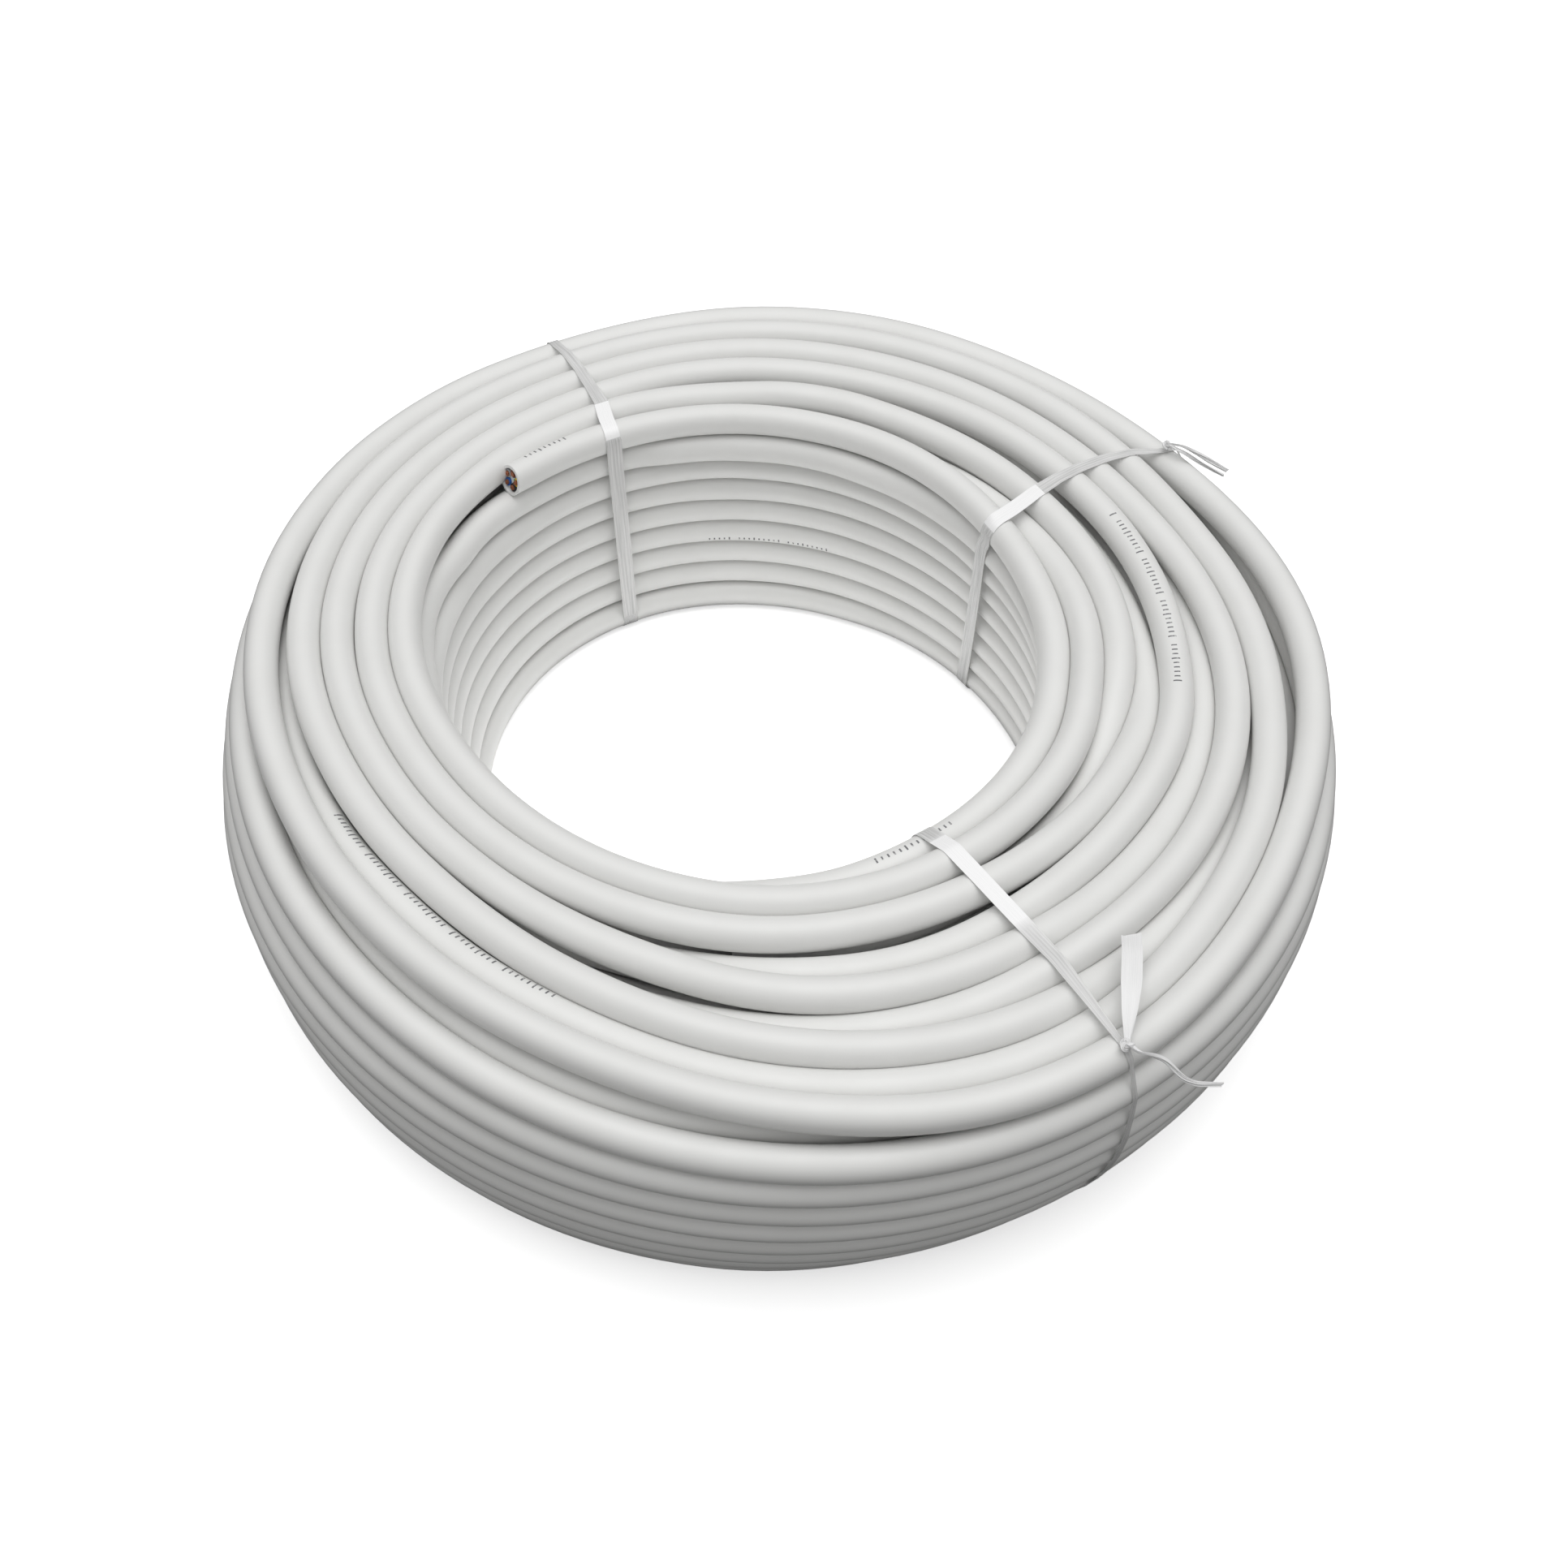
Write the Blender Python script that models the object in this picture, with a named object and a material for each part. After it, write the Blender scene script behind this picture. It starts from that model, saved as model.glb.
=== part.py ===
"""A coil of round sheathed five-core mains cable, lying flat and held by three film ties.

The wound cable is one turned solid with ridges for its outside turns. The free end of the
cable lies in a seat cut in the inner top edge, and its cut end shows the five cores.
Metres, +Z up, the origin on the floor under the middle of the coil.
"""
import bmesh
import bpy
from math import atan, atan2, ceil, cos, hypot, pi, radians, sin
from mathutils import Vector

# The cable
CABLE = 0.0124              # outside diameter of the sheath
SHEATH_WALL = 0.00115       # thickness of the sheath at the cut end
CORES = 5                   # insulated cores laid round the middle of the cable
INSULATION_WALL = 0.0006    # thickness of the insulation of one core
END_RECESS = 0.012          # length of the cores that is modelled behind the cut end
CORE_RECESS = 0.0006        # how far the cores stop short of the cut sheath
WIRE_REACH = 0.0005         # how far the copper of a core stands out of its insulation

# The coil
ROWS = 9                    # turns stacked in the height of the coil
BORE_RADIUS = 0.1151        # axis to the inner wall at the two end faces
BORE_BELLY = 0.0025         # how far the inner wall bows outwards at half height
BORE_OVAL = 0.0050          # how far the bore is squeezed along one diagonal
BORE_LEAN = 0.0067          # how far the bore's end edges lie to the sides of its axis
BORE_DENT = 0.0070          # how far the upper turns come into the bore near the cut end
DENT_ANGLE = radians(140)   # direction of that dent from the bore's axis
OUTER_RADIUS = 0.2009       # middle of the outside to the outer wall at the two end faces
OUTER_BELLY = 0.0125        # how far the outer wall bulges at half height
OUTER_SHIFT_X = 0.0095      # middle of the outside from the bore's axis
OUTER_SHIFT_Y = -0.0089
FACET_ANGLE = radians(8.5)  # largest step round the turned solid
RIDGE_HALF_ARC = radians(30)  # half the width of a ridge's flat, round its turn
SLIGHT_TURN = radians(40)   # bends of the outline below this keep a ridge to one flat
GROOVE_DEPTH = 0.0038       # depth of the groove between two ridges
DIP_ANGLE = radians(295)    # direction in which the turns of the top lie lowest
TOP_DIPS = (0.0070, 0.0110, 0.0055, 0.0050, 0.0035, 0.0015)  # how low, from the inner turn outwards

# The free end of the cable, measured round the bore's axis
END_START = radians(33.5)   # where the free end comes out from under a tie
END_CUT = radians(142)      # where the cable is cut
END_SEAT = radians(168)     # where the empty seat ahead of the cut ends
END_STRAIGHT = 0.016        # straight length at the cut, which holds the cores
END_STEPS = 26
ROUND_SIDES = 20            # sides of the cable
CORE_SIDES = 12             # sides of a core

# The ties
TIE_ANGLES = (radians(33.5), radians(118.5), radians(304))
TIE_WIDTH = 0.0075
TIE_THICKNESS = 0.0005
TIE_MARGIN = 0.0035         # flat width of the coil on each side of a tie
KNOT_SIZE = (0.0095, 0.0085, 0.0065)
TAIL_WIDTH = 0.004          # a tail that is bunched up
TAIL_THICKNESS = 0.0008

GAP = 0.0003                # clearance between pieces that touch

CORE_COLOURS = {
    "brown": (0.20, 0.05, 0.025),
    "green_yellow": (0.62, 0.55, 0.06),
    "black": (0.02, 0.02, 0.022),
    "blue": (0.03, 0.12, 0.42),
    "grey": (0.36, 0.37, 0.38),
}


def material(name, colour, roughness, metallic=0.0):
    """A plain Principled material."""
    mat = bpy.data.materials.get(name) or bpy.data.materials.new(name)
    mat.use_nodes = True
    shader = mat.node_tree.nodes["Principled BSDF"]
    shader.inputs["Base Color"].default_value = (*colour, 1.0)
    shader.inputs["Roughness"].default_value = roughness
    shader.inputs["Metallic"].default_value = metallic
    mat.diffuse_color = (*colour, 1.0)
    return mat


def new_object(name, verts, faces, mat, guide=False):
    """An object from vertices and faces, with its normals facing out."""
    mesh = bpy.data.meshes.new(name)
    mesh.from_pydata(verts, [], faces)
    shape = bmesh.new()
    shape.from_mesh(mesh)
    bmesh.ops.recalc_face_normals(shape, faces=shape.faces)
    shape.to_mesh(mesh)
    shape.free()
    mesh.shade_smooth()
    mesh.set_sharp_from_angle(angle=radians(35))
    mesh.materials.append(mat)
    obj = bpy.data.objects.new(name, mesh)
    bpy.context.scene.collection.objects.link(obj)
    if guide:
        obj.hide_render = True
        obj.display_type = "WIRE"
    return obj


def boolean(obj, other, operation):
    """Cut a piece with a guide body, or join the guide body to it."""
    change = obj.modifiers.new(other.name, "BOOLEAN")
    change.object = other
    change.operation = operation
    change.solver = "EXACT"


def loft(rings, closed=False):
    """Faces that join equal rings of points into one closed skin."""
    count = len(rings[0])
    verts = [point for ring in rings for point in ring]
    faces = []
    joins = len(rings) if closed else len(rings) - 1
    for k in range(joins):
        start, after = k * count, (k + 1) % len(rings) * count
        for j in range(count):
            i = (j + 1) % count
            faces.append((start + j, start + i, after + i, after + j))
    if not closed:
        faces.append(tuple(reversed(range(count))))
        faces.append(tuple(range((len(rings) - 1) * count, len(verts))))
    return verts, faces


# The section of the coil

def outer_reach(angle):
    """Bore's axis to the outer wall at an end face, in one direction."""
    along = OUTER_SHIFT_X * cos(angle) + OUTER_SHIFT_Y * sin(angle)
    across = OUTER_SHIFT_X * sin(angle) - OUTER_SHIFT_Y * cos(angle)
    return along + (OUTER_RADIUS ** 2 - across ** 2) ** 0.5


def rise(height):
    """Place in the height of the coil: -1 for the lowest turns and 1 for the highest."""
    return 2 * (height / CABLE - 0.5) / (ROWS - 1) - 1


def bore_centre(angle, height):
    """Bore's axis to the middle of the inner turns, in one direction at one height."""
    place_up = rise(height)
    bow = BORE_BELLY * (1 - place_up ** 2)
    shape = BORE_OVAL * sin(2 * angle) + BORE_LEAN * place_up * cos(angle)
    dent = BORE_DENT * (1 + place_up) / 2 * max(0, cos(angle - DENT_ANGLE)) ** 2
    return BORE_RADIUS + CABLE / 2 + bow - shape - dent


def top_height(angle, column):
    """Height of the middle of one turn of the top, counted from the inner one."""
    return (ROWS - 0.5) * CABLE - TOP_DIPS[column] * max(0, cos(angle - DIP_ANGLE))


def turn_centres(angle):
    """Middles of the outside turns as (radius, height), from the top inner one outwards."""
    outer = outer_reach(angle) - CABLE / 2
    columns = len(TOP_DIPS)
    heights = [CABLE * (row + 0.5) for row in range(ROWS)]

    def across(height):
        inner = bore_centre(angle, height)
        return [(inner + (outer - inner) * k / columns, height) for k in range(columns)]

    top = [(radius, top_height(angle, k)) for k, (radius, height) in enumerate(across(heights[-1]))]
    outside = [(outer + OUTER_BELLY * (1 - rise(z) ** 2), z) for z in reversed(heights)]
    inner_rise = (top[0][1] - heights[0]) / (ROWS - 1)
    inner_heights = [heights[0] + inner_rise * row for row in range(1, ROWS - 1)]
    inside = [(bore_centre(angle, z), z) for z in inner_heights]
    return top + outside + across(heights[0])[::-1] + inside


def ridge(centre, normal_before, turn):
    """Points round the outer side of one turn: flats that touch its round section."""
    bends = 0 if turn < SLIGHT_TURN else ceil(turn / (2 * RIDGE_HALF_ARC))
    step = turn / bends if bends else 0
    first = normal_before if bends else normal_before - turn / 2
    corners = [(first + RIDGE_HALF_ARC, RIDGE_HALF_ARC)]
    corners += [(first - step * (k + 0.5), step / 2) for k in range(bends)]
    corners += [(first - step * bends - RIDGE_HALF_ARC, RIDGE_HALF_ARC)]
    return [centre + CABLE / 2 / cos(half) * Vector((cos(way), sin(way))) for way, half in corners]


def section(angle):
    """Closed outline of the coil in one direction: flat-topped ridges with grooves between."""
    centres = [Vector(centre) for centre in turn_centres(angle)]
    outline = []
    for k, centre in enumerate(centres):
        next_centre = centres[(k + 1) % len(centres)]
        before = centre - centres[k - 1]
        after = (next_centre - centre).normalized()
        outline += ridge(centre, atan2(before.x, -before.y), before.angle_signed(after))
        groove = CABLE / 2 - GROOVE_DEPTH
        outline.append((centre + next_centre) / 2 + Vector((-after.y, after.x)) * groove)
    return outline


def stations():
    """Directions of the turned solid's edges, with a flat facet at each tie."""
    half = tie_half_angle()
    ordered = sorted(TIE_ANGLES)
    angles = []
    for this, following in zip(ordered, ordered[1:] + [ordered[0] + 2 * pi]):
        start, end = this + half, following - half
        count = ceil((end - start) / FACET_ANGLE)
        angles += [start + (end - start) * k / count for k in range(count + 1)]
    return angles


def tie_half_angle():
    """Half the angle of the flat facet that a tie lies on."""
    return atan((TIE_WIDTH / 2 + TIE_MARGIN) / BORE_RADIUS)


def pressed_section(angle):
    """The section beside a tie, where the tie under the coil lifts the lowest turns a little."""
    lift = TIE_THICKNESS + GAP
    return [Vector((point.x, max(point.y, lift))) for point in section(angle)]


def is_beside_tie(angle):
    half = tie_half_angle()
    return any(abs(abs(angle - tie - turn) - half) < 1e-9 for tie in TIE_ANGLES for turn in (0, 2 * pi))


def middle():
    """Middle of the coil's bounding box, seen from the bore's axis."""
    points = [(point.x * cos(angle), point.x * sin(angle))
              for angle in stations() for point in section(angle)]
    xs, ys = zip(*points)
    return Vector(((min(xs) + max(xs)) / 2, (min(ys) + max(ys)) / 2, 0))


MIDDLE = middle()


def place(radius, angle, height):
    """A point given round the bore's axis, in the part's own frame."""
    return Vector((radius * cos(angle), radius * sin(angle), height)) - MIDDLE


def make_coil(mat):
    rings = []
    for angle in stations():
        outline = pressed_section(angle) if is_beside_tie(angle) else section(angle)
        rings.append([place(point.x, angle, point.y) for point in outline])
    return new_object("coil", *loft(rings, closed=True), mat)


# The free end

def end_route(stop):
    """Middle line of the free end at the top inner edge, as (radius, angle, height)."""
    height = (ROWS - 0.5) * CABLE
    angles = [END_START + (stop - END_START) * k / END_STEPS for k in range(END_STEPS + 1)]
    return [(bore_centre(angle, height), angle, height) for angle in angles]


def end_frames():
    """Points and sideways directions along the free end, whose last stretch is straight."""
    bend_end = END_CUT - atan(END_STRAIGHT / BORE_RADIUS)
    points = [place(*stop) for stop in end_route(bend_end)]
    slope = [(points[min(k + 1, END_STEPS)] - points[max(k - 1, 0)]).normalized()
             for k in range(END_STEPS + 1)]
    slope[-1] = (2 * slope[-1] - slope[-2]).normalized()
    frames = [(point, Vector((ahead.y, -ahead.x, 0))) for point, ahead in zip(points, slope)]
    frames.append((points[-1] + slope[-1] * END_STRAIGHT, frames[-1][1]))
    return frames, slope[-1]


def circle(middle_point, side, radius, sides):
    """A ring of points square to the cable."""
    return [middle_point + radius * (cos(2 * pi * k / sides) * side
                                     + sin(2 * pi * k / sides) * Vector((0, 0, 1)))
            for k in range(sides)]


def cut_seat(coil, mat):
    """Cut the bed of the free end out of the top inner edge, open to the bore."""
    bow = hypot(BORE_RADIUS, END_STRAIGHT) - BORE_RADIUS
    low = -CABLE / 2 - GAP
    reach = CABLE / 2 + 2 * GAP + bow
    profile = [(-CABLE, low)]
    profile += [(reach * sin(radians(way)), low * cos(radians(way))) for way in range(0, 91, 18)]
    profile += [(reach, CABLE), (-CABLE, CABLE)]
    rings = [[place(radius + x, angle, height + z) for x, z in profile]
             for radius, angle, height in end_route(END_SEAT)]
    seat = new_object("seat_cutter", *loft(rings), mat, guide=True)
    boolean(coil, seat, "DIFFERENCE")


def core_sizes():
    """Radius of a core, and of the circle that the cores lie on."""
    room = CABLE / 2 - SHEATH_WALL - GAP
    half = sin(pi / CORES)
    radius = (room - GAP / 2 / half) / (1 + 1 / half)
    return radius, (radius + GAP / 2) / half


def make_free_end(mat):
    frames, along = end_frames()
    rings = [circle(point, side, CABLE / 2, ROUND_SIDES) for point, side in frames]
    rings[0] = [point + GAP * Vector((-sin(END_START), cos(END_START), 0)) for point in rings[0]]
    tip, side = frames[-1]
    bore = CABLE / 2 - SHEATH_WALL
    rings.append(circle(tip, side, bore, ROUND_SIDES))
    rings.append(circle(tip - along * END_RECESS, side, bore, ROUND_SIDES))
    return new_object("free_end", *loft(rings), mat)


def make_cores(copper):
    """Five insulated cores in the cut end, each with its copper wire."""
    frames, along = end_frames()
    tip, side = frames[-1]
    radius, lay = core_sizes()
    wire = radius - INSULATION_WALL
    back = tip - along * (END_RECESS - GAP)
    front = tip - along * CORE_RECESS
    for k, (colour, value) in enumerate(CORE_COLOURS.items()):
        way = 2 * pi * k / CORES + radians(100)
        offset = lay * (cos(way) * side + sin(way) * Vector((0, 0, 1)))
        seat = back + offset + along * (INSULATION_WALL + GAP)
        insulation = [circle(back + offset, side, radius, CORE_SIDES),
                      circle(front + offset, side, radius, CORE_SIDES),
                      circle(front + offset, side, wire, CORE_SIDES),
                      circle(seat - along * GAP, side, wire, CORE_SIDES)]
        new_object(f"core_{colour}", *loft(insulation),
                   material(f"{colour} insulation", value, 0.45))
        copper_rings = [circle(seat, side, wire - GAP, CORE_SIDES),
                        circle(front + offset + along * WIRE_REACH, side, wire - GAP, CORE_SIDES)]
        new_object(f"wire_{colour}", *loft(copper_rings), copper)


# The ties

def facet_section(angle, offset):
    """The coil's outline across a tie's flat facet, at a distance to one side of its middle."""
    half = tie_half_angle()
    outline = []
    for before, after in zip(pressed_section(angle - half), pressed_section(angle + half)):
        across = -before.x * sin(half), after.x * sin(half)
        part = (offset - across[0]) / (across[1] - across[0])
        here = before.lerp(after, part)
        outline.append(Vector((here.x * cos(half), here.y)))
    return outline


def hull_order(points):
    """Indices of the convex hull of plane points, in order."""
    order = sorted(range(len(points)), key=lambda k: (round(points[k].x, 7), round(points[k].y, 7)))

    def chain(indices):
        kept = []
        for k in indices:
            while len(kept) > 1:
                a, b = points[kept[-2]], points[kept[-1]]
                if (b - a).cross(points[k] - a) > 1e-9:
                    break
                kept.pop()
            kept.append(k)
        return kept[:-1]

    return chain(order) + chain(order[::-1])


def offset_loop(points, distance):
    """A convex loop moved outwards, with mitred corners."""
    moved = []
    for k, point in enumerate(points):
        before = (point - points[k - 1]).normalized()
        after = (points[(k + 1) % len(points)] - point).normalized()
        normal_before = Vector((before.y, -before.x))
        normal_after = Vector((after.y, -after.x))
        bisector = (normal_before + normal_after).normalized()
        moved.append(point + bisector * distance / bisector.dot(normal_before))
    return moved


def tie_point(angle, outward, offset, height):
    """A point in a tie's own directions: outwards, to its side, and up."""
    across = Vector((-sin(angle), cos(angle), 0))
    return place(outward, angle, height) + across * offset


def make_band(name, angle, mat):
    """The closed loop of film round the coil's section, drawn tight over the ridges."""
    order = hull_order(facet_section(angle, 0))
    loops = []
    for offset, distance in ((-1, GAP), (-1, GAP + TIE_THICKNESS), (1, GAP + TIE_THICKNESS), (1, GAP)):
        edge = offset * TIE_WIDTH / 2
        outline = facet_section(angle, edge)
        loop = offset_loop([outline[k] for k in order], distance)
        loops.append([tie_point(angle, point.x, edge, point.y) for point in loop])
    return new_object(name, *loft(loops, closed=True), mat)


def knot_point(angle, outward=0, aside=0, up=0):
    """A point near a tie's knot, which lies on top of the outermost top turn."""
    height = ROWS * CABLE + GAP + KNOT_SIZE[2] / 2
    return tie_point(angle, outer_reach(angle) - CABLE / 2 + outward, aside, height + up)


def make_knot(band, angle, mat):
    shape = bmesh.new()
    bmesh.ops.create_uvsphere(shape, u_segments=10, v_segments=6, radius=0.5)
    faces = [[vert.index for vert in face.verts] for face in shape.faces]
    verts = [knot_point(angle, *(c * s for c, s in zip(vert.co, KNOT_SIZE))) for vert in shape.verts]
    shape.free()
    knot = new_object(band.name + "_knot", verts, faces, mat, guide=True)
    boolean(band, knot, "UNION")


def make_tail(band, angle, route, width, mat):
    """A loose end of film, as a bent strip from the knot along a short route."""
    points = [knot_point(angle, *stop) for stop in route]
    rings = []
    for k, point in enumerate(points):
        ahead = (points[min(k + 1, len(points) - 1)] - points[max(k - 1, 0)]).normalized()
        side = ahead.cross(Vector((0, 0, 1))).normalized()
        face = side.cross(ahead)
        rings.append([point + side * width / 2 * a + face * TAIL_THICKNESS / 2 * b
                      for a, b in ((-1, -1), (1, -1), (1, 1), (-1, 1))])
    tail = new_object(band.name + "_tail", *loft(rings), mat, guide=True)
    boolean(band, tail, "UNION")


def make_ties(mat):
    """Three ties. Two are knotted on top, with loose tails."""
    right, back, front = TIE_ANGLES
    make_band("tie_back", back, mat)
    tie = make_band("tie_right", right, mat)
    make_knot(tie, right, mat)
    make_tail(tie, right, [(0, 0, 0), (0.010, -0.008, 0.001), (0.018, -0.020, -0.003)],
              TAIL_WIDTH, mat)
    tie = make_band("tie_front", front, mat)
    make_knot(tie, front, mat)
    make_tail(tie, front, [(0, 0, 0), (-0.012, 0.013, 0.003), (-0.026, 0.027, 0.001)],
              TIE_WIDTH, mat)
    make_tail(tie, front, [(0, 0, 0), (0.014, 0.006, 0.001), (0.028, 0.016, -0.003)],
              TAIL_WIDTH, mat)


def build():
    for obj in list(bpy.data.objects):
        bpy.data.objects.remove(obj, do_unlink=True)
    sheath = material("white sheath", (0.80, 0.80, 0.79), 0.42)
    film = material("clear film", (0.86, 0.87, 0.88), 0.3)
    copper = material("copper", (0.72, 0.36, 0.20), 0.35, 1.0)
    coil = make_coil(sheath)
    cut_seat(coil, sheath)
    make_free_end(sheath)
    make_cores(copper)
    make_ties(film)


build()
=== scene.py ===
"""Looks of the coil of white five-core mains cable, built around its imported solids.

Lengths in the coil's own layout are in cable diameters, measured from the axis of the bore.
"""
import math

import bmesh
import bpy
import numpy as np
from mathutils import Matrix, Vector


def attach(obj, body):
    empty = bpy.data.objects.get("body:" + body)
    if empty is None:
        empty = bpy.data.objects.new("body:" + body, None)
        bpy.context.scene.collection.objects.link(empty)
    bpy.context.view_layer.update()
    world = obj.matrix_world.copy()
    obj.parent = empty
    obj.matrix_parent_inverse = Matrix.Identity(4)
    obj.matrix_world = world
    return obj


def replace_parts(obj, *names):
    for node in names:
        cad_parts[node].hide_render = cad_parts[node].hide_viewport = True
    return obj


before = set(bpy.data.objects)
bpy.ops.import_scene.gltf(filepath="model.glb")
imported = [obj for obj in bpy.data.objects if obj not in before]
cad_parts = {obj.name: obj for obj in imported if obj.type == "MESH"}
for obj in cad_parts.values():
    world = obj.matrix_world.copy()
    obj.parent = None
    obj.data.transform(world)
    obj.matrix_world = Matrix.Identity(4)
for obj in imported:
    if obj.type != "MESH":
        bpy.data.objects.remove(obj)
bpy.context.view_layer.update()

# The coil's own measures
CABLE = 0.0124              # outside diameter of the sheath
AXIS = (-0.0095, 0.0090)    # the bore's axis in the row frame
ROWS = 9                    # turns stacked in the height of the coil
LOW_ROW = 0.5               # height of the middle of a turn in the lowest row
TOP_ROW = ROWS - LOW_ROW    # and of a turn that lies on top
SECOND_ROW = TOP_ROW - 1
INNER_CLIMB = (-107, -43)   # between these angles of a lap the wall of the bore climbs a row
OUTER_CLIMB = (65, 125)     # and the outside wall here
OUTER_END = 475             # angle at which the outside wall ends, under the outermost top turn
LAST_STRETCH = 470          # from here on the innermost turn goes back to its stations
STATIONS = 180              # samples of a turn
STEP = 360 / STATIONS
SIDES = 28                  # sides of the sheath and of a core
SHEATH_WALL = 0.00115
RIM_BEVEL = 0.00022         # width of the bevel on the sheath's cut rim
FILLING_DEPTH = 0.0016      # how far the filling between the cores lies behind the rim
INSULATION_WALL = 0.0006
CORE_END = 0.0006           # how far the cores' cut faces lie behind the rim
CORE_RADIUS = 0.00168
CORE_LAY = 0.00311          # the cable's axis to the middle of a core
CUT = (501.41, 10.1225)     # angle and radius of the cut end of the cable
SLANT = 0.25                # how far the cut leans back at its top, in metres a metre
CUT_WAY = 222.4             # direction in which the cut end points
JOINT = 394                 # angle at which the free end starts, under the right tie
FILM = 0.00012              # thickness of the film in a tie
KNOT_HEIGHT = ROWS + 0.0024 / CABLE
LOOSE = 2                   # the run of knots and loose ends starts here, in metres
TICK_PITCH = 0.0023         # from one tick to the next along the cable
TICK_HALF = 0.00032         # half the width of a tick
TICK_REACH = CABLE / 2 + 0.00002

# Camera, in the row frame
EYE = (0.00613, -0.45763, 0.58640)
LOOK_DOWN = math.radians(50.876)
ROLL = math.radians(1.602)
LENS = 40.84

# Top turns, each as stations of angle in degrees, radius and height. A station without a height
# lies in the top row. An angle past 360 is the next lap of the same turn. A turn comes up from the
# second row and later sinks back into it.
TOP_RING = [
    (0, 16.9), (10, 16.65), (20, 16.25, 8.45), (32, 15.8, 8.4), (45, 15.6, 8.35), (65, 15.5, 8.3),
    (90, 15.4, 8.35), (110, 14.95, 8.3), (120, 14.75, 8.3), (135, 14.68, 8.4), (150, 14.62, 8.45),
    (165, 14.65), (180, 14.53), (195, 14.35), (210, 14.25), (225, 14.38), (240, 14.8), (250, 15.1),
    (260, 15.52), (270, 16.13), (280, 16.7), (290, 17.25), (300, 17.45), (310, 17.42), (320, 17.2),
    (335, 16.95), (350, 16.93),
]
SECOND = [
    (172, 13.8, 7.5), (190, 13.75, 7.62), (210, 13.6, 7.72), (225, 13.53, 8.0), (240, 13.89, 8.08),
    (255, 14.36, 8.12), (270, 15.23, 8.12), (280, 15.76, 8.15), (290, 16.3, 8.35), (300, 16.48, 8.3),
    (310, 16.42, 8.38), (320, 16.25, 8.45), (335, 16.03), (350, 15.6), (360, 15.4), (370, 15.08),
    (380, 14.68), (392, 14.58), (420, 14.58), (445, 14.44), (470, 14.03), (480, 13.8), (495, 13.7),
    (520, 13.62), (532, 13.5), (550, 13.14), (570, 12.67), (585, 12.67), (600, 12.92), (612, 13.4),
    (622, 13.9), (632, 14.5), (642, 15.02), (652, 15.5), (662, 15.62, 8.45), (672, 15.56, 8.25),
    (682, 15.48, 8.0), (695, 15.42, 7.7), (710, 15.45, 7.5), (760, 15.3, 7.4),
]
THIRD = [
    (215, 12.9, 7.4), (245, 13.0, 7.5), (258, 13.15, 7.6), (270, 13.66, 7.8), (280, 14.08, 7.92),
    (290, 14.5, 8.22), (300, 14.66, 8.4), (315, 14.7), (335, 14.64), (350, 14.54), (360, 14.32),
    (370, 14.03), (380, 13.66), (392, 13.46), (420, 13.37), (450, 13.34), (470, 13.03), (480, 12.82),
    (495, 12.68), (520, 12.63), (540, 12.38), (555, 12.0), (570, 11.68), (582, 11.62), (600, 11.79),
    (612, 12.05), (622, 12.4), (632, 12.92), (645, 13.45), (660, 13.72), (675, 13.8, 8.4),
    (690, 13.81, 8.3), (705, 13.82, 8.15), (718, 13.75, 7.9), (732, 13.6, 7.6), (745, 13.5, 7.5),
    (800, 13.4, 7.4),
]
FOURTH = [
    (225, 11.7, 7.4), (250, 11.7, 7.5), (262, 11.78, 7.6), (270, 12.04, 7.85), (280, 12.36, 8.08),
    (290, 12.62, 8.15), (302, 12.8, 8.3), (315, 12.86, 8.45), (335, 12.91), (350, 12.88), (362, 12.78),
    (376, 12.65), (392, 12.5), (410, 12.37), (430, 12.27), (450, 12.27), (470, 12.07), (490, 11.92),
    (510, 11.86), (530, 11.52), (545, 11.2), (560, 10.88), (575, 10.65), (590, 10.63), (605, 10.78),
    (620, 11.0), (640, 11.28), (655, 11.42), (668, 11.58), (680, 11.8), (692, 12.0, 8.45),
    (702, 12.06, 8.3), (712, 12.0, 8.05), (724, 11.9, 7.8), (738, 11.84, 7.55), (760, 11.8, 7.4),
    (800, 11.7, 7.4), (880, 11.55, 7.35),
]
FIFTH = [
    (270, 10.9, 7.4), (300, 10.98, 7.45), (315, 11.15, 7.55), (328, 11.3, 7.72), (340, 11.33, 8.0),
    (350, 11.28, 8.3), (360, 11.2, 8.48), (370, 11.12), (385, 10.98), (405, 10.88), (425, 10.84),
    (445, 10.88), (458, 10.87), (470, 10.98), (480, 11.04), (492, 11.14), (510, 11.04), (530, 10.6),
    (550, 10.18), (568, 9.87), (582, 9.76), (600, 9.79), (615, 9.92), (630, 10.22), (648, 10.38),
    (670, 10.46), (692, 10.47), (710, 10.35), (722, 10.25), (734, 10.12, 8.4), (746, 10.02, 8.2),
    (758, 9.98, 8.0), (772, 10.02, 7.7), (786, 10.1, 7.45), (830, 10.2, 7.4),
]
INNERMOST = [
    (135, 10.04, 7.5), (140, 10.1, 7.5), (145, 10.22, 7.5), (150, 10.29, 7.5), (170, 10.29, 7.5),
    (180, 10.12, 7.5), (190, 9.87, 7.5), (210, 9.63, 7.5), (235, 9.62, 7.5), (255, 9.66, 7.55),
    (265, 9.6, 7.7), (275, 9.57, 7.85), (290, 9.63, 7.92), (320, 9.68, 7.97), (340, 9.58, 8.0),
    (350, 9.48, 8.05), (360, 9.38, 8.15), (370, 9.25, 8.25), (380, 9.18, 8.38), (390, 9.16, 8.46),
    (405, 9.27), (420, 9.46), (440, 9.62), (460, 9.77), (478, 9.88), (486, 9.93), (494.1, 10.0),
    (497.8, 10.04), (501, 10.11),
]
TIES = {"right": 33.5, "back": 118.5, "front": 304.0}


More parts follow.
